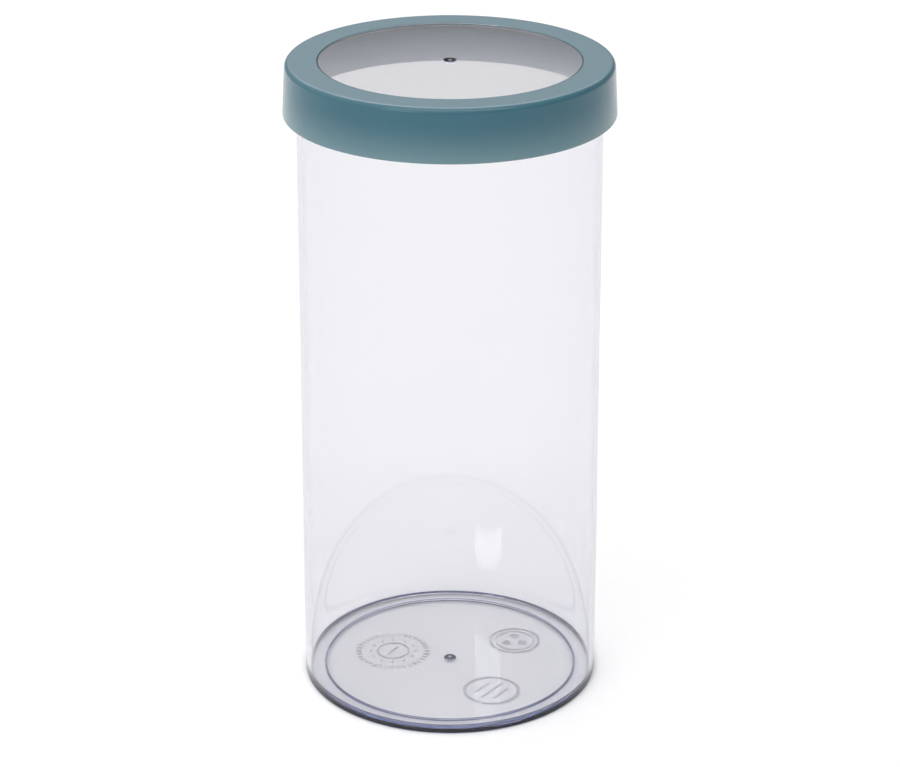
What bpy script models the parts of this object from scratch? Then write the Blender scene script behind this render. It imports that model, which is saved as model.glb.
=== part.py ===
"""A round clear storage canister with a push-on collar lid. Run in Blender 4.5; metres, +Z up.

The jar is one moulding, open at the top. The lid is a coloured collar that holds a clear window and a
soft sealing ring, and lifts straight off. Every piece is a turned solid about the Z axis, and the
origin is the centre of the foot on the surface that the canister stands on.
"""

import math

import bmesh
import bpy

MM = 0.001
SEGMENTS = 64  # facets round every turned piece
FIT_GAP = 0.3 * MM  # air between pieces that touch on the real object

# Jar
JAR_FOOT_RADIUS = 57.0 * MM  # outside, just above the foot's rounded edge
JAR_NECK_RADIUS = 56.05 * MM  # outside, where the lid's skirt ends
JAR_WALL = 1.9 * MM
JAR_FLOOR = 1.4 * MM
JAR_RIM_HEIGHT = 242.3 * MM
FOOT_EDGE_RADIUS = 0.6 * MM
FOOT_RING_INNER_RADIUS = 49.3 * MM
FOOT_RECESS = 0.8 * MM  # how far the floor's underside lies above the foot
FOOT_RECESS_RUN = 0.55 * MM  # how far in the slope round the recess goes
FLOOR_CORNER_RADIUS = 1.5 * MM
RIM_ROUNDING = 0.6 * MM

# Lid
LID_HEIGHT = 247.0 * MM  # top face of the collar
SKIRT_LOW = 227.3 * MM
SKIRT_OUTER_RADIUS = 61.0 * MM
SKIRT_INNER_RADIUS = 59.2 * MM
SHOULDER_OUTER_RADIUS = 59.9 * MM
SHOULDER_RADIUS = 2.0 * MM
SKIRT_EDGE_RADIUS = 0.6 * MM
COLLAR_THICKNESS = 2.2 * MM
COLLAR_BORE_RADIUS = 58.2 * MM  # inside the skirt, at its top
WINDOW_OPENING_RADIUS = 48.2 * MM
WINDOW_LIP = 1.0 * MM  # the collar's thickness over the window's ledge
REBATE_RADIUS = 51.2 * MM  # inside the rib, where the ledge sits
SEAL_RIB_THICKNESS = 0.7 * MM
SEAL_RIB_DEPTH = 1.5 * MM

# Window
WINDOW_RECESS = 0.2 * MM  # how far its face lies below the collar's
WINDOW_THICKNESS = 2.0 * MM

# Sealing ring
SEAL_INNER_RADIUS = 53.6 * MM
SEAL_OUTER_RADIUS = 57.8 * MM
SEAL_LIP_LOW = 240.6 * MM  # the lip that hangs round the outside of the jar's neck and grips it
SEAL_ROUNDING = 0.5 * MM


def clear_scene():
    for obj in list(bpy.data.objects):
        bpy.data.objects.remove(obj, do_unlink=True)


def plastic(name, color, roughness, transmission=0.0, ior=1.5):
    material = bpy.data.materials.new(name)
    material.use_nodes = True
    shader = material.node_tree.nodes["Principled BSDF"]
    shader.inputs["Base Color"].default_value = (*color, 1.0)
    shader.inputs["Roughness"].default_value = roughness
    shader.inputs["Metallic"].default_value = 0.0
    shader.inputs["IOR"].default_value = ior
    shader.inputs["Transmission Weight"].default_value = transmission
    return material


def arc(center, radius, start, end, steps):
    """Points (r, z) along an arc, with its angles in degrees from +R towards +Z."""
    points = []
    for i in range(steps + 1):
        angle = math.radians(start + (end - start) * i / steps)
        points.append((center[0] + radius * math.cos(angle), center[1] + radius * math.sin(angle)))
    return points


def turned(name, profile, material, closed):
    """A solid of revolution about Z. A profile that isn't closed starts and ends on the axis."""
    shape = bmesh.new()
    verts = [shape.verts.new((r, 0.0, z)) for r, z in profile]
    edges = [shape.edges.new(pair) for pair in zip(verts, verts[1:])]
    if closed:
        edges.append(shape.edges.new((verts[-1], verts[0])))
    bmesh.ops.spin(
        shape,
        geom=verts + edges,
        cent=(0, 0, 0),
        axis=(0, 0, 1),
        angle=math.tau,
        steps=SEGMENTS,
        use_merge=True,
    )
    bmesh.ops.remove_doubles(shape, verts=shape.verts, dist=1e-6)
    bmesh.ops.recalc_face_normals(shape, faces=shape.faces)
    mesh = bpy.data.meshes.new(name)
    shape.to_mesh(mesh)
    shape.free()
    mesh.materials.append(material)
    mesh.shade_smooth()
    mesh.set_sharp_from_angle(angle=math.radians(35))
    obj = bpy.data.objects.new(name, mesh)
    bpy.context.scene.collection.objects.link(obj)
    return obj


def jar_body():
    """Foot ring, tall wall and plain rounded rim, hollow from the rim to the floor."""
    foot_center = (JAR_FOOT_RADIUS - FOOT_EDGE_RADIUS, FOOT_EDGE_RADIUS)
    inner_foot_radius = JAR_FOOT_RADIUS - JAR_WALL
    inner_neck_radius = JAR_NECK_RADIUS - JAR_WALL
    floor_height = FOOT_RECESS + JAR_FLOOR
    corner_center = (inner_foot_radius - FLOOR_CORNER_RADIUS, floor_height + FLOOR_CORNER_RADIUS)
    outside = [(0.0, FOOT_RECESS), (FOOT_RING_INNER_RADIUS - FOOT_RECESS_RUN, FOOT_RECESS)]
    outside += [(FOOT_RING_INNER_RADIUS, 0.0)]
    outside += arc(foot_center, FOOT_EDGE_RADIUS, -90, 0, 4)
    outside += [(JAR_NECK_RADIUS, SKIRT_LOW)]
    rim = arc((JAR_NECK_RADIUS - RIM_ROUNDING, JAR_RIM_HEIGHT - RIM_ROUNDING), RIM_ROUNDING, 0, 90, 2)
    rim += arc((inner_neck_radius + RIM_ROUNDING, JAR_RIM_HEIGHT - RIM_ROUNDING), RIM_ROUNDING, 90, 180, 2)
    inside = [(inner_neck_radius, SKIRT_LOW)]
    inside += arc(corner_center, FLOOR_CORNER_RADIUS, 0, -90, 4)
    inside += [(0.0, floor_height)]
    material = plastic("clear_jar_plastic", (0.93, 0.94, 0.96), 0.03, transmission=1.0, ior=1.57)
    return turned("jar_body", outside + rim + inside, material, closed=False)


def lid_ring():
    """The collar: a flat top face, a rounded shoulder, and a skirt that flares a little to its edge."""
    shoulder_center = (SHOULDER_OUTER_RADIUS - SHOULDER_RADIUS, LID_HEIGHT - SHOULDER_RADIUS)
    edge_center = (SKIRT_OUTER_RADIUS - SKIRT_EDGE_RADIUS, SKIRT_LOW + SKIRT_EDGE_RADIUS)
    underside = LID_HEIGHT - COLLAR_THICKNESS
    rib_low = underside - SEAL_RIB_DEPTH
    rib_outer = REBATE_RADIUS + SEAL_RIB_THICKNESS
    profile = [(WINDOW_OPENING_RADIUS, LID_HEIGHT)]
    profile += arc(shoulder_center, SHOULDER_RADIUS, 90, 0, 5)
    profile += arc(edge_center, SKIRT_EDGE_RADIUS, 0, -90, 3)
    profile += [(SKIRT_INNER_RADIUS, SKIRT_LOW), (COLLAR_BORE_RADIUS, underside)]
    profile += [(rib_outer, underside), (rib_outer, rib_low), (REBATE_RADIUS, rib_low)]
    profile += [(REBATE_RADIUS, LID_HEIGHT - WINDOW_LIP), (WINDOW_OPENING_RADIUS, LID_HEIGHT - WINDOW_LIP)]
    material = plastic("teal_lid_plastic", (0.10, 0.22, 0.27), 0.35)
    return turned("lid_ring", profile, material, closed=True)


def lid_window():
    """A clear disc that fills the collar's opening from below, with a ledge that sits in the rebate."""
    face = LID_HEIGHT - WINDOW_RECESS
    back = face - WINDOW_THICKNESS
    radius = WINDOW_OPENING_RADIUS - FIT_GAP
    ledge_radius = REBATE_RADIUS - FIT_GAP
    ledge_top = LID_HEIGHT - WINDOW_LIP - FIT_GAP
    profile = [(0.0, face), (radius - FIT_GAP, face), (radius, face - FIT_GAP), (radius, ledge_top)]
    profile += [(ledge_radius, ledge_top), (ledge_radius, back), (0.0, back)]
    material = plastic("clear_window_plastic", (0.93, 0.94, 0.96), 0.04, transmission=1.0, ior=1.57)
    return turned("lid_window", profile, material, closed=False)


def lid_seal():
    """A soft ring under the collar: a flat flange on the jar's rim, and a lip round the outside of the neck."""
    high = LID_HEIGHT - COLLAR_THICKNESS - FIT_GAP
    low = JAR_RIM_HEIGHT + FIT_GAP
    lip_inner = JAR_NECK_RADIUS + FIT_GAP
    lip_round = (SEAL_OUTER_RADIUS - lip_inner) / 2
    profile = arc((SEAL_OUTER_RADIUS - SEAL_ROUNDING, high - SEAL_ROUNDING), SEAL_ROUNDING, 90, 0, 2)
    profile += arc((lip_inner + lip_round, SEAL_LIP_LOW + lip_round), lip_round, 0, -180, 6)
    profile += [(lip_inner, low), (SEAL_INNER_RADIUS, low), (SEAL_INNER_RADIUS, high)]
    material = plastic("soft_seal", (0.06, 0.09, 0.10), 0.55)
    return turned("lid_seal", profile, material, closed=True)


def main():
    clear_scene()
    jar_body()
    lid_origin = bpy.data.objects.new("lid_axis", None)
    bpy.context.scene.collection.objects.link(lid_origin)
    for piece in (lid_ring(), lid_window(), lid_seal()):
        piece.parent = lid_origin


main()
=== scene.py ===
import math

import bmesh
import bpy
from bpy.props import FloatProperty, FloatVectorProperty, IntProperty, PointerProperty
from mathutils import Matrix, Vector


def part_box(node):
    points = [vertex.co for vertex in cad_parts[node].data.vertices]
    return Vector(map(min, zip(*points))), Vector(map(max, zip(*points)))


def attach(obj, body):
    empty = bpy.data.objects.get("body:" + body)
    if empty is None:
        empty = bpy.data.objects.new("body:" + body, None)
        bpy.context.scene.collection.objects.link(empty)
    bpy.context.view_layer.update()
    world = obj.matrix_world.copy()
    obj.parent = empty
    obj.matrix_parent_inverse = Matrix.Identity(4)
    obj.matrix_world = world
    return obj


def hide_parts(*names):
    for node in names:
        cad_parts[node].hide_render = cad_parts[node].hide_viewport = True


bl_info = {
    "name": "Storage Canister",
    "version": (1, 0, 0),
    "blender": (4, 5, 0),
    "location": "3D View > Sidebar > Canister",
    "description": "Builds a clear storage canister with a coloured collar lid around its packed frame",
    "category": "Object",
}

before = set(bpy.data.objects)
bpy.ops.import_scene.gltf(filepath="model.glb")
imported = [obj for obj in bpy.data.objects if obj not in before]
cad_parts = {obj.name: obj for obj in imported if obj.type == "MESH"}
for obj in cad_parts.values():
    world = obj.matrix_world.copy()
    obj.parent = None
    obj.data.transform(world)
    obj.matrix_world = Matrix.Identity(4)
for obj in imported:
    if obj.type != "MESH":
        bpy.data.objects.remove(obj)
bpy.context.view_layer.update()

MM = 0.001
FADE = 0.1 * MM  # width over which one tint changes into the next
JAR_LOW, JAR_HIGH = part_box("jar_body")
RING_LOW, RING_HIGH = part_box("lid_ring")
WINDOW_LOW, WINDOW_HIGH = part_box("lid_window")
SEAL_LOW, SEAL_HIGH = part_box("lid_seal")


# ---------------------------------------------------------------- shared modelling


def link(name, mesh):
    """A new object in the scene, with this mesh."""
    obj = bpy.data.objects.new(name, mesh)
    bpy.context.scene.collection.objects.link(obj)
    return obj


def turned(name, corners, closed, facets, round_steps):
    """A turned solid about Z. corners are (radius, height, rounding); an open profile ends on the axis."""
    bm = bmesh.new()
    verts = [bm.verts.new((r, 0.0, z)) for r, z, _ in corners]
    for pair in zip(verts, verts[1:]):
        bm.edges.new(pair)
    if closed:
        bm.edges.new((verts[-1], verts[0]))
    for vert, (_, _, rounding) in zip(verts, corners):
        if rounding:
            bmesh.ops.bevel(
                bm,
                geom=[vert],
                offset=rounding,
                offset_type="OFFSET",
                segments=round_steps,
                profile=0.5,
                affect="VERTICES",
                material=-1,
                clamp_overlap=False,
            )
    bmesh.ops.spin(
        bm,
        geom=list(bm.verts) + list(bm.edges),
        cent=(0, 0, 0),
        axis=(0, 0, 1),
        angle=math.tau,
        steps=facets,
        use_merge=True,
    )
    bmesh.ops.remove_doubles(bm, verts=bm.verts, dist=1e-6)
    bmesh.ops.recalc_face_normals(bm, faces=bm.faces)
    mesh = bpy.data.meshes.new(name)
    bm.to_mesh(mesh)
    bm.free()
    return link(name, mesh)


def finish_surface(obj, sharp_degrees=30):
    """Smooth shading with crisp edges, where the large flat faces keep their own normals."""
    obj.data.shade_smooth()
    obj.data.set_sharp_from_angle(angle=math.radians(sharp_degrees))
    weighting = obj.modifiers.new("even_normals", "WEIGHTED_NORMAL")
    weighting.mode = "FACE_AREA"
    weighting.keep_sharp = True


def stands_for(obj, node, body):
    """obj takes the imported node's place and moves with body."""
    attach(obj, body)
    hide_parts(node)


# ---------------------------------------------------------------- shared materials


class Nodes:
    """Short ways to add nodes to one material's tree."""

    def __init__(self, name):
        self.material = bpy.data.materials.new(name)
        self.material.use_nodes = True
        self.tree = self.material.node_tree
        self.shader = self.tree.nodes["Principled BSDF"]
        self.output = self.tree.nodes["Material Output"]
        self.coords = self.tree.nodes.new("ShaderNodeTexCoord")

    def set(self, socket, value):
        self.shader.inputs[socket].default_value = value

    def add(self, kind, **values):
        node = self.tree.nodes.new(kind)
        for name, value in values.items():
            setattr(node, name, value)
        return node

    def join(self, output, target):
        self.tree.links.new(output, target)

    def noise(self, scale, detail=3.0, stretch=(1.0, 1.0, 1.0)):
        mapping = self.add("ShaderNodeMapping")
        mapping.inputs["Scale"].default_value = stretch
        texture = self.add("ShaderNodeTexNoise")
        texture.inputs["Scale"].default_value = scale
        texture.inputs["Detail"].default_value = detail
        self.join(self.coords.outputs["Object"], mapping.inputs["Vector"])
        self.join(mapping.outputs["Vector"], texture.inputs["Vector"])
        return texture.outputs["Fac"]

    def spread(self, value, low, high, to_low, to_high):
        """value between low and high, mapped to between to_low and to_high."""
        node = self.add("ShaderNodeMapRange", clamp=True)
        node.inputs["From Min"].default_value = low
        node.inputs["From Max"].default_value = high
        node.inputs["To Min"].default_value = to_low
        node.inputs["To Max"].default_value = to_high
        self.join(value, node.inputs["Value"])
        return node.outputs["Result"]

    def math(self, operation, first, second):
        node = self.add("ShaderNodeMath", operation=operation)
        for socket, value in zip(node.inputs, (first, second)):
            if isinstance(value, (int, float)):
                socket.default_value = value
            else:
                self.join(value, socket)
        return node.outputs["Value"]

    def radius(self):
        """Distance from the axis."""
        place = self.add("ShaderNodeVectorMath", operation="MULTIPLY")
        place.inputs[1].default_value = (1.0, 1.0, 0.0)
        length = self.add("ShaderNodeVectorMath", operation="LENGTH")
        self.join(self.coords.outputs["Object"], place.inputs[0])
        self.join(place.outputs["Vector"], length.inputs[0])
        return length.outputs["Value"]

    def height(self):
        """Height above the surface that the canister stands on."""
        place = self.add("ShaderNodeSeparateXYZ")
        self.join(self.coords.outputs["Object"], place.inputs["Vector"])
        return place.outputs["Z"]

    def mix_colors(self, factor, first, second):
        node = self.add("ShaderNodeMix", data_type="RGBA")
        self.join(factor, node.inputs[0])
        for socket, color in ((node.inputs[6], first), (node.inputs[7], second)):
            if isinstance(color, bpy.types.NodeSocket):
                self.join(color, socket)
            else:
                socket.default_value = (*color, 1.0)
        return node.outputs[2]

    def bump(self, height, strength, distance):
        node = self.add("ShaderNodeBump")
        node.inputs["Strength"].default_value = strength
        node.inputs["Distance"].default_value = distance
        self.join(height, node.inputs["Height"])
        self.join(node.outputs["Normal"], self.shader.inputs["Normal"])


def gate_shade_mask(nodes, radius, props):
    """Mask for the painted shade of the gate mark: 1 in its groove, 0 elsewhere."""
    rim = props.gate_radius - props.gate_rim
    return nodes.math(
        "MULTIPLY",
        nodes.spread(radius, rim - FADE, rim, 1.0, 0.0),
        nodes.spread(radius, props.nub_radius, props.nub_radius + FADE, 0.0, 1.0),
    )


def foot_painted_shade(nodes, radius, tint, props, low):
    """Painted shade: deep blue painted over the tint at the foot's outer edge and on its ring's inner slope,
    where light bent through the thick foot makes the plastic look dark.
    """
    edge_radius = props.foot_radius - props.edge_shade_depth
    edge_high = low + props.edge_shade_height
    # Mask of the painted shade at the foot's outer edge.
    edge = nodes.math(
        "MULTIPLY",
        nodes.spread(radius, edge_radius - FADE, edge_radius, 0.0, 1.0),
        nodes.spread(nodes.height(), edge_high - 2 * FADE, edge_high, 1.0, 0.0),
    )
    slope_start = props.foot_ring_inner - props.recess_run
    slope_end = props.foot_ring_inner + FADE
    # Mask of the painted shade on the foot ring's inner slope.
    slope = nodes.math(
        "MULTIPLY",
        nodes.spread(radius, slope_start - FADE, slope_start, 0.0, 1.0),
        nodes.spread(radius, slope_end - FADE / 2, slope_end, 1.0, 0.0),
    )
    return nodes.mix_colors(slope, nodes.mix_colors(edge, tint, props.edge_painted_shade), props.step_painted_shade)


def clear_plastic(name, props, rough_high, foot_low=None):
    """Polished clear plastic: faint smudges and hairlines in its gloss, a blue cast where it is thick, and
    painted shade in deep blue in the gate mark's groove and, on a piece with a foot, at the foot.

    foot_low is the height of the foot's face, for a piece that has a foot.
    """
    nodes = Nodes(name)
    radius = nodes.radius()
    # Surface tint, with painted shade in dark blue in the gate mark's groove.
    tint = nodes.mix_colors(gate_shade_mask(nodes, radius, props), props.surface_tint, props.gate_painted_shade)
    if foot_low is not None:
        # Painted shade in deep blue at the foot.
        tint = foot_painted_shade(nodes, radius, tint, props, foot_low)
    nodes.join(tint, nodes.shader.inputs["Base Color"])
    nodes.set("Transmission Weight", 1.0)
    nodes.set("IOR", props.refraction)
    smudges = nodes.spread(nodes.noise(22.0), 0.45, 0.75, 0.0, rough_high)
    hairlines = nodes.spread(nodes.noise(900.0, 1.0, (1.0, 1.0, 0.02)), 0.66, 0.72, 0.0, 0.02)
    nodes.join(nodes.math("ADD", smudges, hairlines), nodes.shader.inputs["Roughness"])
    nodes.bump(nodes.noise(14.0, 1.0), 0.25, 0.05 * MM)
    absorption = nodes.add("ShaderNodeVolumeAbsorption")
    absorption.inputs["Color"].default_value = (*props.depth_color, 1.0)
    absorption.inputs["Density"].default_value = props.depth_density
    nodes.join(absorption.outputs["Volume"], nodes.output.inputs["Volume"])
    return nodes.material


def frosted_plastic(name, props):
    """The spark-eroded face of a moulded mark in clear plastic."""
    nodes = Nodes(name)
    nodes.set("Base Color", (*props.surface_tint, 1.0))
    nodes.set("Transmission Weight", 1.0)
    nodes.set("IOR", props.refraction)
    grain = nodes.noise(2400.0, 2.0)
    nodes.join(nodes.spread(grain, 0.3, 0.7, 0.25, 0.45), nodes.shader.inputs["Roughness"])
    nodes.bump(grain, 0.4, 0.03 * MM)
    return nodes.material


def collar_plastic(props, edge_height, top_height):
    """Satin moulded plastic with a slight mottle and a fine grain. Painted light makes its thin skirt paler
    towards the lower edge, inside and out, and a painted sheen makes the top face paler.
    """
    nodes = Nodes("teal_collar_plastic")
    mottle = nodes.mix_colors(
        nodes.spread(nodes.noise(18.0, 4.0), 0.3, 0.7, 0.0, 1.0), props.color_deep, props.color_pale
    )
    height = nodes.height()
    # Painted light: 1 at the skirt's lower edge, fading to 0 higher up.
    edge_light_mask = nodes.spread(height, edge_height, edge_height + props.edge_light_fade, 1.0, 0.0)
    # Painted light: the skirt's colour turns paler towards its lower edge.
    edge = nodes.mix_colors(nodes.math("POWER", edge_light_mask, 1.5), mottle, props.color_edge_lit)
    # Painted sheen: the top face gets a paler colour.
    top_sheen_mask = nodes.spread(height, top_height - 4 * FADE, top_height - FADE, 0.0, 1.0)
    face = nodes.mix_colors(top_sheen_mask, edge, props.color_top_sheen)
    # Painted light inside the skirt: paler near its lower edge.
    within_wall = RING_HIGH.x - props.skirt_wall + 0.25 * MM
    inside = nodes.spread(nodes.radius(), within_wall, within_wall + 1.5 * FADE, 1.0, 0.0)
    whole = nodes.mix_colors(nodes.math("MULTIPLY", inside, edge_light_mask), face, props.color_inside_lit)
    nodes.join(whole, nodes.shader.inputs["Base Color"])
    gloss = nodes.spread(nodes.noise(60.0, 4.0), 0.3, 0.7, props.gloss_low, props.gloss_high)
    rubbed = nodes.spread(nodes.noise(1300.0, 1.0, (0.04, 0.04, 1.0)), 0.62, 0.72, 0.0, 0.015)
    nodes.join(nodes.math("ADD", gloss, rubbed), nodes.shader.inputs["Roughness"])
    nodes.set("IOR", 1.5)
    nodes.set("Sheen Weight", props.bloom)
    nodes.set("Sheen Roughness", 0.5)
    nodes.set("Subsurface Weight", props.glow)
    nodes.set("Subsurface Radius", (0.6, 1.0, 1.2))
    nodes.set("Subsurface Scale", 1.2 * MM)
    nodes.bump(nodes.noise(400.0, 1.0), 0.04, 0.01 * MM)
    return nodes.material


def seal_rubber(props):
    """Soft dark rubber with a faint mottle and a fine matt grain."""
    nodes = Nodes("soft_seal_rubber")
    worn = [channel * 0.93 for channel in props.color]
    nodes.join(nodes.mix_colors(nodes.noise(35.0, 3.0), props.color, worn), nodes.shader.inputs["Base Color"])
    nodes.join(nodes.spread(nodes.noise(90.0), 0.3, 0.7, 0.42, 0.58), nodes.shader.inputs["Roughness"])
    nodes.set("IOR", 1.41)
    nodes.set("Subsurface Weight", 0.35)
    nodes.set("Subsurface Radius", (1.0, 1.0, 1.0))
    nodes.set("Subsurface Scale", 1.5 * MM)
    nodes.bump(nodes.noise(2600.0, 2.0), 0.15, 0.02 * MM)
    return nodes.material


# ---------------------------------------------------------------- settings


class ClearPlasticSettings:
    """What the jar's and the window's plastic have in common."""

    nub_radius: FloatProperty(
        name="Nub Radius",
        description="Radius of the nub in the middle of the gate",
        default=0.7 * MM,
        unit="LENGTH",
    )
    gate_rim: FloatProperty(
        name="Gate Rim", description="Untinted rim round the gate's groove", default=0.25 * MM, unit="LENGTH"
    )
    # Painted shade: dark blue painted into the gate mark's groove.
    gate_painted_shade: FloatVectorProperty(
        name="Gate Tint",
        description="Tint in the gate's groove",
        default=(0.03, 0.04, 0.14),
        subtype="COLOR",
        size=3,
    )
    surface_tint: FloatVectorProperty(
        name="Surface Tint",
        description="Tint that light takes at each surface",
        default=(0.995, 0.995, 0.972),
        subtype="COLOR",
        size=3,
    )
    depth_color: FloatVectorProperty(
        name="Depth Colour",
        description="Colour that light keeps as it goes through the plastic",
        default=(0.60, 0.60, 0.79),
        subtype="COLOR",
        size=3,
    )
    refraction: FloatProperty(name="Refraction", description="Index of refraction", default=1.57)


class CANISTER_PG_jar(ClearPlasticSettings, bpy.types.PropertyGroup):
    foot_radius: FloatProperty(
        name="Foot Radius",
        description="Outside radius of the wall just above the foot",
        default=57.0 * MM,
        unit="LENGTH",
    )
    neck_radius: FloatProperty(
        name="Neck Radius",
        description="Outside radius of the wall under the lid's skirt",
        default=56.05 * MM,
        unit="LENGTH",
    )
    wall: FloatProperty(name="Wall", description="Wall thickness", default=1.9 * MM, unit="LENGTH")
    floor: FloatProperty(name="Floor", description="Floor thickness", default=1.4 * MM, unit="LENGTH")
    foot_rounding: FloatProperty(
        name="Foot Rounding", description="Outer rounding of the foot", default=0.6 * MM, unit="LENGTH"
    )
    corner_rounding: FloatProperty(
        name="Corner Rounding",
        description="Rounding inside, between floor and wall",
        default=1.5 * MM,
        unit="LENGTH",
    )
    recess: FloatProperty(
        name="Recess", description="Height of the hollow under the floor", default=0.8 * MM, unit="LENGTH"
    )
    recess_run: FloatProperty(
        name="Recess Run", description="Width of the slope round the recess", default=0.55 * MM, unit="LENGTH"
    )
    foot_ring_inner: FloatProperty(
        name="Foot Ring Inner", description="Inner radius of the foot ring", default=49.3 * MM, unit="LENGTH"
    )
    gate_radius: FloatProperty(
        name="Gate Radius",
        description="Radius of the injection gate's dimple",
        default=2.4 * MM,
        unit="LENGTH",
    )
    gate_depth: FloatProperty(
        name="Gate Depth", description="Depth of the injection gate's dimple", default=0.7 * MM, unit="LENGTH"
    )
    # The next four settings place and colour the painted shade at the foot: deep blue at its outer edge and
    # on its ring's inner slope.
    edge_shade_depth: FloatProperty(
        name="Edge Tint Depth",
        description="How far in from the foot's outside the tint goes",
        default=0.7 * MM,
        unit="LENGTH",
    )
    edge_shade_height: FloatProperty(
        name="Edge Tint Height",
        description="How far up the foot's outside the tint goes",
        default=1.87 * MM,
        unit="LENGTH",
    )
    edge_painted_shade: FloatVectorProperty(
        name="Edge Tint",
        description="Tint at the foot's outer edge",
        default=(0.002, 0.004, 0.06),
        subtype="COLOR",
        size=3,
    )
    step_painted_shade: FloatVectorProperty(
        name="Step Tint",
        description="Tint at the foot ring's inner edge",
        default=(0.03, 0.05, 0.17),
        subtype="COLOR",
        size=3,
    )
    mark_depth: FloatProperty(
        name="Mark Depth",
        description="Depth of the moulded marks in the floor",
        default=0.3 * MM,
        unit="LENGTH",
    )
    depth_density: FloatProperty(
        name="Depth Density", description="How fast the plastic absorbs light, per metre", default=112.0
    )
    facets: IntProperty(name="Facets", description="Steps round the jar", default=256)


class CANISTER_PG_collar(bpy.types.PropertyGroup):
    opening_radius: FloatProperty(
        name="Opening Radius", description="Radius of the window's opening", default=48.2 * MM, unit="LENGTH"
    )
    thickness: FloatProperty(
        name="Thickness", description="Thickness of the flat top", default=2.2 * MM, unit="LENGTH"
    )
    shoulder_radius: FloatProperty(
        name="Shoulder Radius",
        description="Outside radius under the shoulder",
        default=59.9 * MM,
        unit="LENGTH",
    )
    shoulder_rounding: FloatProperty(
        name="Shoulder Rounding", description="Rounding of the shoulder", default=2.0 * MM, unit="LENGTH"
    )
    skirt_wall: FloatProperty(
        name="Skirt Wall", description="Thickness of the skirt at its edge", default=1.8 * MM, unit="LENGTH"
    )
    bore_radius: FloatProperty(
        name="Bore Radius",
        description="Inside radius of the skirt at its top",
        default=58.2 * MM,
        unit="LENGTH",
    )
    lip: FloatProperty(
        name="Lip", description="Thickness over the window's ledge", default=1.0 * MM, unit="LENGTH"
    )
    rebate_radius: FloatProperty(
        name="Rebate Radius",
        description="Radius of the rebate that holds the window",
        default=51.2 * MM,
        unit="LENGTH",
    )
    rib_wall: FloatProperty(
        name="Rib Wall", description="Thickness of the rib round the rebate", default=0.7 * MM, unit="LENGTH"
    )
    rib_depth: FloatProperty(
        name="Rib Depth", description="How far the rib hangs below the top", default=1.5 * MM, unit="LENGTH"
    )
    color_deep: FloatVectorProperty(
        name="Deep Colour",
        description="Darker tone of the teal",
        default=(0.031, 0.117, 0.160),
        subtype="COLOR",
        size=3,
    )
    color_pale: FloatVectorProperty(
        name="Pale Colour",
        description="Lighter tone of the teal",
        default=(0.035, 0.127, 0.172),
        subtype="COLOR",
        size=3,
    )
    # Painted light: the paler tone towards the skirt's lower edge.
    color_edge_lit: FloatVectorProperty(
        name="Edge Colour",
        description="Tone of the skirt's thin edge",
        default=(0.136, 0.235, 0.268),
        subtype="COLOR",
        size=3,
    )
    # Painted sheen: the paler tone given to the top face in place of a grazing sheen.
    color_top_sheen: FloatVectorProperty(
        name="Top Colour",
        description="Tone of the finely textured top face",
        default=(0.126, 0.214, 0.253),
        subtype="COLOR",
        size=3,
    )
    # Painted light: the pale tone inside the skirt near its lower edge.
    color_inside_lit: FloatVectorProperty(
        name="Inside Colour",
        description="Tone inside the skirt, at its edge",
        default=(0.62, 0.67, 0.72),
        subtype="COLOR",
        size=3,
    )
    # Height over which the painted light at the skirt's edge fades.
    edge_light_fade: FloatProperty(
        name="Edge Fade",
        description="Height over which the edge's tone fades",
        default=14.0 * MM,
        unit="LENGTH",
    )
    bloom: FloatProperty(name="Bloom", description="Pale sheen at grazing angles", default=0.02)
    gloss_low: FloatProperty(name="Gloss Low", description="Roughness where it is glossiest", default=0.18)
    gloss_high: FloatProperty(name="Gloss High", description="Roughness where it is dullest", default=0.23)
    glow: FloatProperty(name="Glow", description="How much light the plastic lets through", default=0.15)
    facets: IntProperty(name="Facets", description="Steps round the collar", default=256)


class CANISTER_PG_window(ClearPlasticSettings, bpy.types.PropertyGroup):
    play: FloatProperty(
        name="Play", description="Air between the disc and the collar", default=0.15 * MM, unit="LENGTH"
    )
    gate_radius: FloatProperty(
        name="Gate Radius",
        description="Radius of the injection gate's dimple",
        default=2.45 * MM,
        unit="LENGTH",
    )
    gate_depth: FloatProperty(
        name="Gate Depth",
        description="Depth of the injection gate's dimple",
        default=1.25 * MM,
        unit="LENGTH",
    )
    depth_density: FloatProperty(
        name="Depth Density", description="How fast the plastic absorbs light, per metre", default=80.0
    )
    facets: IntProperty(name="Facets", description="Steps round the window", default=256)


class CANISTER_PG_seal(bpy.types.PropertyGroup):
    inner_radius: FloatProperty(
        name="Inner Radius", description="Inner radius of the flange", default=53.6 * MM, unit="LENGTH"
    )
    play: FloatProperty(
        name="Play", description="Air between the seal and the jar", default=0.15 * MM, unit="LENGTH"
    )
    rounding: FloatProperty(
        name="Rounding", description="Rounding of the ring's edges", default=0.5 * MM, unit="LENGTH"
    )
    color: FloatVectorProperty(
        name="Colour",
        description="Colour of the soft seal",
        default=(0.05, 0.075, 0.085),
        subtype="COLOR",
        size=3,
    )
    facets: IntProperty(name="Facets", description="Steps round the seal", default=192)


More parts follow.
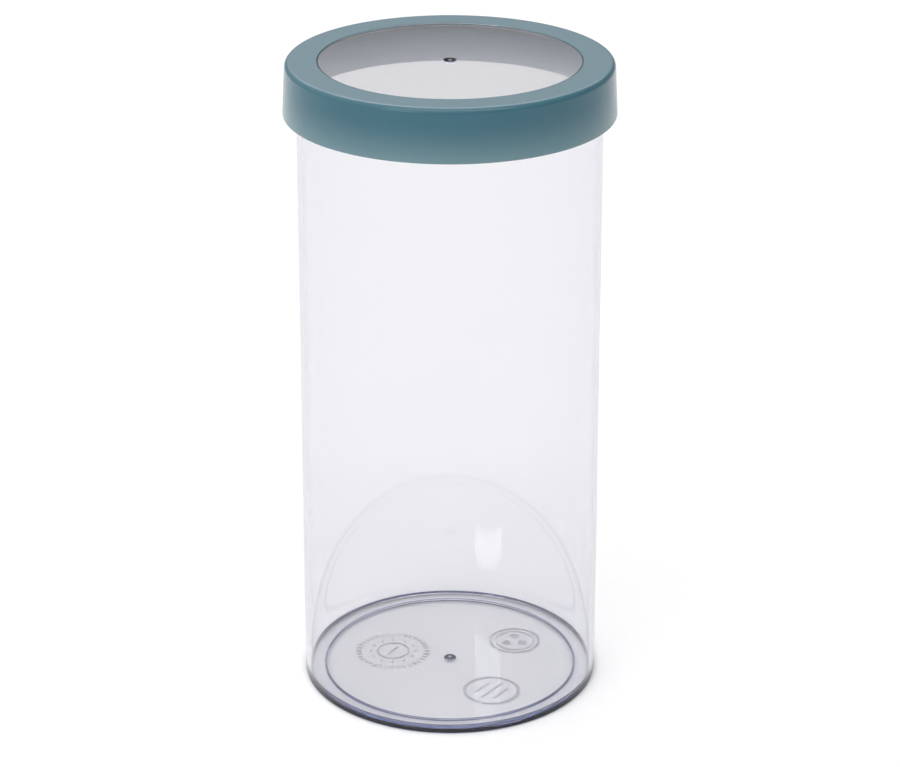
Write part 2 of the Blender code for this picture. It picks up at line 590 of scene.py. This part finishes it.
class CANISTER_PG_stage(bpy.types.PropertyGroup):
    floor_size: FloatProperty(name="Floor Size", description="Side of the floor", default=8.0, unit="LENGTH")
    floor_gap: FloatProperty(
        name="Floor Gap",
        description="Air under the foot, so that light gets under it",
        default=0.1 * MM,
        unit="LENGTH",
    )
    bright_side: FloatVectorProperty(
        name="Bright Side",
        description="Where the room is brightest",
        default=(-0.41, -0.2, 1.0),
        subtype="XYZ",
        size=3,
    )
    dim_strength: FloatProperty(
        name="Dim Strength", description="Light from the room's dim side", default=0.33
    )
    bright_strength: FloatProperty(
        name="Bright Strength", description="Light from the room's bright side", default=1.36
    )
    overhead_power: FloatProperty(
        name="Overhead Power", description="Power of the softbox above", default=3.5, unit="POWER"
    )
    panel_power: FloatProperty(
        name="Panel Power", description="Power of the panel over the floor behind", default=3.0, unit="POWER"
    )
    strip_power: FloatProperty(
        name="Strip Power", description="Power of the strip over the camera", default=4.0, unit="POWER"
    )
    lamp_power: FloatProperty(
        name="Lamp Power", description="Power of the lamps at the left", default=1.0, unit="POWER"
    )
    camera_distance: FloatProperty(
        name="Camera Distance", description="Level distance from the axis", default=0.970, unit="LENGTH"
    )
    camera_height: FloatProperty(
        name="Camera Height", description="Height above the floor", default=0.5353, unit="LENGTH"
    )
    camera_tilt: FloatProperty(
        name="Camera Tilt", description="Angle below level", default=math.radians(23.21), unit="ROTATION"
    )
    camera_lens: FloatProperty(
        name="Camera Lens", description="Focal length", default=111.25, unit="CAMERA"
    )


# ---------------------------------------------------------------- pieces


class CANISTER_OT_jar(bpy.types.Operator):
    """Make the clear jar: ring foot, gate mark, tall wall and plain rounded rim"""

    bl_idname = "canister.jar"
    bl_label = "Clear Jar"

    def execute(self, context):
        props = context.scene.canister_jar
        rim = JAR_HIGH.z
        skirt_low = RING_LOW.z
        low = JAR_LOW.z
        under = low + props.recess
        top = under + props.floor
        ring = props.foot_ring_inner
        gate = props.gate_radius
        dimple = under + props.gate_depth
        nub = props.nub_radius
        nub_face = under + 0.1 * MM
        crisp = 0.1 * MM
        rim_rounding = 0.6 * MM
        outside = [
            (0.0, nub_face, 0.0),
            (nub, nub_face, 0.2 * MM),
            (nub + 0.15 * MM, dimple, crisp),
            (gate - 0.5 * MM, dimple, 0.3 * MM),
            (gate, under, crisp),
            (ring - props.recess_run, under, crisp),
            (ring, low, crisp),
            (props.foot_radius, low, props.foot_rounding),
            (props.neck_radius, skirt_low, 0.0),
            (props.neck_radius, rim, rim_rounding),
        ]
        inside = [
            (props.neck_radius - props.wall, rim, rim_rounding),
            (props.neck_radius - props.wall, skirt_low, 0.0),
            (props.foot_radius - props.wall, top, props.corner_rounding),
            (0.0, top, 0.0),
        ]
        jar = turned("jar_clear_body", outside + inside, closed=False, facets=props.facets, round_steps=6)
        jar.data.materials.append(clear_plastic("clear_jar_plastic", props, 0.03, foot_low=low))
        jar.data.materials.append(frosted_plastic("frosted_mark_plastic", props))
        stands_for(jar, "jar_body", "jar")
        return {"FINISHED"}


class CANISTER_OT_collar(bpy.types.Operator):
    """Make the coloured collar: flat top, rounded shoulder, flared skirt, and the rebate for the window"""

    bl_idname = "canister.collar"
    bl_label = "Lid Collar"

    def execute(self, context):
        props = context.scene.canister_collar
        top = RING_HIGH.z
        low = RING_LOW.z
        edge = RING_HIGH.x
        under = top - props.thickness
        rib_low = under - props.rib_depth
        rebate = props.rebate_radius
        rib = rebate + props.rib_wall
        softened = 0.2 * MM
        corners = [
            (props.opening_radius, top, softened),
            (props.shoulder_radius, top, props.shoulder_rounding),
            (edge, low, 0.6 * MM),
            (edge - props.skirt_wall, low, 0.3 * MM),
            (props.bore_radius, under, 0.4 * MM),
            (rib, under, softened),
            (rib, rib_low, softened),
            (rebate, rib_low, softened),
            (rebate, top - props.lip, 0.15 * MM),
            (props.opening_radius, top - props.lip, 0.1 * MM),
        ]
        collar = turned("lid_collar", corners, closed=True, facets=props.facets, round_steps=8)
        collar.data.materials.append(collar_plastic(props, low, top))
        finish_surface(collar)
        stands_for(collar, "lid_ring", "lid")
        return {"FINISHED"}


class CANISTER_OT_window(bpy.types.Operator):
    """Make the clear window: a disc with a gate mark, and the ledge that holds it in the collar"""

    bl_idname = "canister.window"
    bl_label = "Lid Window"

    def execute(self, context):
        props = context.scene.canister_window
        collar = context.scene.canister_collar
        face = WINDOW_HIGH.z
        back = WINDOW_LOW.z
        ledge = WINDOW_HIGH.x
        ledge_top = RING_HIGH.z - collar.lip - props.play
        radius = collar.opening_radius - props.play
        gate = props.gate_radius
        dimple = face - props.gate_depth
        nub = props.nub_radius
        nub_face = face - 0.1 * MM
        softened = 0.2 * MM
        corners = [
            (0.0, nub_face, 0.0),
            (nub, nub_face, 0.15 * MM),
            (nub + 0.2 * MM, dimple, 0.15 * MM),
            (gate - 1.0 * MM, dimple, 0.3 * MM),
            (gate, face, 0.1 * MM),
            (radius, face, 0.3 * MM),
            (radius, ledge_top, 0.1 * MM),
            (ledge, ledge_top, softened),
            (ledge, back, softened),
            (0.0, back, 0.0),
        ]
        window = turned("lid_clear_window", corners, closed=False, facets=props.facets, round_steps=5)
        window.data.materials.append(clear_plastic("clear_window_plastic", props, 0.04))
        finish_surface(window)
        stands_for(window, "lid_window", "lid")
        return {"FINISHED"}


class CANISTER_OT_seal(bpy.types.Operator):
    """Make the soft sealing ring that the jar's rim presses"""

    bl_idname = "canister.seal"
    bl_label = "Sealing Ring"

    def execute(self, context):
        props = context.scene.canister_seal
        jar = context.scene.canister_jar
        outer = SEAL_HIGH.x
        lip_low = SEAL_LOW.z
        high = SEAL_HIGH.z
        flange_low = JAR_HIGH.z + props.play
        lip_inner = jar.neck_radius + props.play
        lip_rounding = 0.45 * (outer - lip_inner)
        softened = 0.2 * MM
        corners = [
            (props.inner_radius, flange_low, softened),
            (props.inner_radius, high, props.rounding),
            (outer, high, props.rounding),
            (outer, lip_low, lip_rounding),
            (lip_inner, lip_low, lip_rounding),
            (lip_inner, flange_low, softened),
        ]
        seal = turned("lid_soft_seal", corners, closed=True, facets=props.facets, round_steps=5)
        seal.data.materials.append(seal_rubber(props))
        finish_surface(seal)
        stands_for(seal, "lid_seal", "lid")
        return {"FINISHED"}


def ring_cutter(bm, center, outer, inner, low, high):
    """A flat ring round center, between the heights low and high."""
    corners = [(outer, low), (outer, high), (inner, high), (inner, low)]
    verts = [bm.verts.new((center[0] + r, center[1], z)) for r, z in corners]
    edges = [bm.edges.new(pair) for pair in zip(verts, verts[1:] + verts[:1])]
    bmesh.ops.spin(
        bm,
        geom=verts + edges,
        cent=(*center, 0),
        axis=(0, 0, 1),
        angle=math.tau,
        steps=64,
        use_merge=True,
    )


def dot_cutter(bm, center, radius, low, high, sides=20):
    """A round stud at center, between the heights low and high."""
    bmesh.ops.create_cone(
        bm,
        cap_ends=True,
        segments=sides,
        radius1=radius,
        radius2=radius,
        depth=high - low,
        matrix=Matrix.Translation((*center, (low + high) / 2)),
    )


def bar_cutter(bm, center, length, width, turn, low, high):
    """A bar whose length points the way that turn gives, in degrees from +X."""
    place = Matrix.Translation((*center, (low + high) / 2))
    spin = Matrix.Rotation(math.radians(turn), 4, "Z")
    size = Matrix.Diagonal((length, width, high - low, 1.0))
    bmesh.ops.create_cube(bm, size=1.0, matrix=place @ spin @ size)


def round_from(center, radius, turn):
    """The point at this radius from center, turn degrees from +X."""
    angle = math.radians(turn)
    return (center[0] + radius * math.cos(angle), center[1] + radius * math.sin(angle))


def dial_mark(bm, low, high):
    """A mould's date dial: a pointer in a ring, inside a wide ring of ticks and dots."""
    center = (-22.7 * MM, 5.4 * MM)
    ring_cutter(bm, center, 6.6 * MM, 5.8 * MM, low, high)
    bar_cutter(bm, center, 7.0 * MM, 1.0 * MM, 60, low, high)
    for turn in range(0, 360, 30):
        dot_cutter(bm, round_from(center, 9.0 * MM, turn), 0.65 * MM, low, high)
    for turn in range(0, 360, 10):
        bar_cutter(bm, round_from(center, 13.6 * MM, turn), 2.4 * MM, 0.7 * MM, turn, low, high)


def dots_mark(bm, low, high):
    """Three dots in a double ring."""
    center = (26.0 * MM, 13.7 * MM)
    ring_cutter(bm, center, 10.3 * MM, 9.3 * MM, low, high)
    ring_cutter(bm, center, 7.9 * MM, 7.2 * MM, low, high)
    for turn in (90, 210, 330):
        dot_cutter(bm, round_from(center, 3.6 * MM, turn), 1.9 * MM, low, high, sides=32)


def bars_mark(bm, low, high):
    """Three slanted bars in a thick ring."""
    center = (15.9 * MM, -26.7 * MM)
    ring_cutter(bm, center, 11.0 * MM, 9.5 * MM, low, high)
    for shift, length in ((-4.2, 9.0), (0.0, 13.0), (4.2, 9.0)):
        place = round_from(center, shift * MM, -35)
        bar_cutter(bm, place, length * MM, 1.2 * MM, 55, low, high)


class CANISTER_OT_marks(bpy.types.Operator):
    """Cut generic moulded marks into the underside of the jar's floor"""

    bl_idname = "canister.marks"
    bl_label = "Moulded Marks"

    def execute(self, context):
        props = context.scene.canister_jar
        jar = bpy.data.objects["jar_clear_body"]
        under = JAR_LOW.z + props.recess
        cutter_low = under - 0.2 * MM
        bm = bmesh.new()
        for mark in (dial_mark, dots_mark, bars_mark):
            mark(bm, cutter_low, under + props.mark_depth)
        bmesh.ops.recalc_face_normals(bm, faces=bm.faces)
        for face in bm.faces:
            face.material_index = 1
        mesh = bpy.data.meshes.new("marks")
        bm.to_mesh(mesh)
        bm.free()
        cutter = link("marks", mesh)
        for material in jar.data.materials:
            mesh.materials.append(material)
        cut = jar.modifiers.new("marks", "BOOLEAN")
        cut.object = cutter
        cut.operation = "DIFFERENCE"
        cut.solver = "EXACT"
        engraved = bpy.data.meshes.new_from_object(jar.evaluated_get(context.evaluated_depsgraph_get()))
        jar.modifiers.remove(cut)
        jar.data = engraved
        bpy.data.objects.remove(cutter, do_unlink=True)
        finish_surface(jar)
        return {"FINISHED"}


# ---------------------------------------------------------------- stage


def floor_material():
    """A pale matt surface whose dullness varies slightly."""
    nodes = Nodes("pale_floor")
    nodes.set("Base Color", (0.88, 0.88, 0.88, 1.0))
    nodes.set("Specular IOR Level", 0.2)
    nodes.join(nodes.spread(nodes.noise(6.0), 0.3, 0.7, 0.6, 0.7), nodes.shader.inputs["Roughness"])
    return nodes.material


def area_light(name, place, aim, size, power):
    """A flat rectangular light at place that points at aim."""
    light = bpy.data.lights.new(name, "AREA")
    light.shape = "RECTANGLE"
    light.size = size[0]
    light.size_y = size[1]
    light.energy = power
    lamp = bpy.data.objects.new(name, light)
    lamp.location = place
    lamp.rotation_euler = (Vector(aim) - Vector(place)).to_track_quat("-Z", "Y").to_euler()
    bpy.context.scene.collection.objects.link(lamp)


def studio_world(props):
    """A white room, brighter on the side that bright_side points to."""
    world = bpy.data.worlds.new("studio")
    world.use_nodes = True
    tree = world.node_tree
    background = tree.nodes["Background"]
    background.inputs["Color"].default_value = (1.0, 1.0, 1.0, 1.0)
    coords = tree.nodes.new("ShaderNodeTexCoord")
    facing = tree.nodes.new("ShaderNodeVectorMath")
    facing.operation = "DOT_PRODUCT"
    facing.inputs[1].default_value = Vector(props.bright_side).normalized()
    ramp = tree.nodes.new("ShaderNodeMapRange")
    ramp.inputs["From Min"].default_value = 0.0
    ramp.inputs["From Max"].default_value = 1.0
    ramp.inputs["To Min"].default_value = props.dim_strength
    ramp.inputs["To Max"].default_value = props.bright_strength
    tree.links.new(coords.outputs["Generated"], facing.inputs[0])
    tree.links.new(facing.outputs["Value"], ramp.inputs["Value"])
    tree.links.new(ramp.outputs["Result"], background.inputs["Strength"])
    return world


def studio_floor(props):
    """A wide flat floor, a little below the foot."""
    bm = bmesh.new()
    bmesh.ops.create_grid(bm, x_segments=8, y_segments=8, size=props.floor_size / 2)
    bmesh.ops.translate(bm, verts=bm.verts, vec=(0, 0, -props.floor_gap))
    mesh = bpy.data.meshes.new("floor")
    bm.to_mesh(mesh)
    bm.free()
    floor = link("floor", mesh)
    floor.data.materials.append(floor_material())


def studio_lights(props):
    """A softbox above, a panel over the floor behind, a strip over the camera, two lamps at the left."""
    upper_body = (0.0, 0.0, 0.2)
    floor_behind = (0.0, 1.5, 0.0)
    lid_front = (0.0, -0.06, 0.245)
    foot = (0.0, 0.0, 0.02)
    area_light("overhead_softbox", (-0.1, 0.95, 1.5), upper_body, (1.2, 0.2), props.overhead_power)
    area_light("back_floor_panel", (0.0, 1.5, 1.2), floor_behind, (2.0, 0.6), props.panel_power)
    area_light("front_strip", (0.0, -0.58, 1.44), lid_front, (1.6, 0.06), props.strip_power)
    area_light("left_lamp_low", (-0.66, -1.0, 0.622), foot, (0.5, 0.03), 0.4 * props.lamp_power)
    area_light("left_lamp_high", (-0.66, -1.0, 0.735), foot, (0.5, 0.075), 0.8 * props.lamp_power)


def studio_camera(props):
    """The camera, in front of the canister, above it and tilted down."""
    camera_data = bpy.data.cameras.new("camera")
    camera_data.lens = props.camera_lens
    camera_data.sensor_width = 36.0
    camera = bpy.data.objects.new("camera", camera_data)
    camera.location = (0.0, -props.camera_distance, props.camera_height)
    camera.rotation_euler = (math.radians(90) - props.camera_tilt, 0, 0)
    bpy.context.scene.collection.objects.link(camera)
    return camera


class CANISTER_OT_stage(bpy.types.Operator):
    """Make the pale floor, the soft lights and the camera"""

    bl_idname = "canister.stage"
    bl_label = "Stage"

    def execute(self, context):
        props = context.scene.canister_stage
        scene = context.scene
        studio_floor(props)
        scene.world = studio_world(props)
        studio_lights(props)
        scene.camera = studio_camera(props)
        scene.view_settings.view_transform = "Standard"
        scene.cycles.blur_glossy = 0.0
        return {"FINISHED"}


# ---------------------------------------------------------------- panel and run

OPERATORS = (
    CANISTER_OT_stage,
    CANISTER_OT_jar,
    CANISTER_OT_marks,
    CANISTER_OT_collar,
    CANISTER_OT_window,
    CANISTER_OT_seal,
)
GROUPS = {
    "canister_stage": CANISTER_PG_stage,
    "canister_jar": CANISTER_PG_jar,
    "canister_collar": CANISTER_PG_collar,
    "canister_window": CANISTER_PG_window,
    "canister_seal": CANISTER_PG_seal,
}


class CANISTER_PT_panel(bpy.types.Panel):
    bl_idname = "CANISTER_PT_panel"
    bl_label = "Storage Canister"
    bl_space_type = "VIEW_3D"
    bl_region_type = "UI"
    bl_category = "Canister"

    def draw(self, context):
        for operator in OPERATORS:
            self.layout.operator(operator.bl_idname)


CLASSES = (*GROUPS.values(), *OPERATORS, CANISTER_PT_panel)


def register():
    for cls in CLASSES:
        bpy.utils.register_class(cls)
    for name, group in GROUPS.items():
        setattr(bpy.types.Scene, name, PointerProperty(type=group))


def unregister():
    for name in GROUPS:
        delattr(bpy.types.Scene, name)
    for cls in reversed(CLASSES):
        bpy.utils.unregister_class(cls)


def main():
    register()
    for operator in OPERATORS:
        group, name = operator.bl_idname.split(".")
        getattr(getattr(bpy.ops, group), name)()


if __name__ == "__main__":
    main()
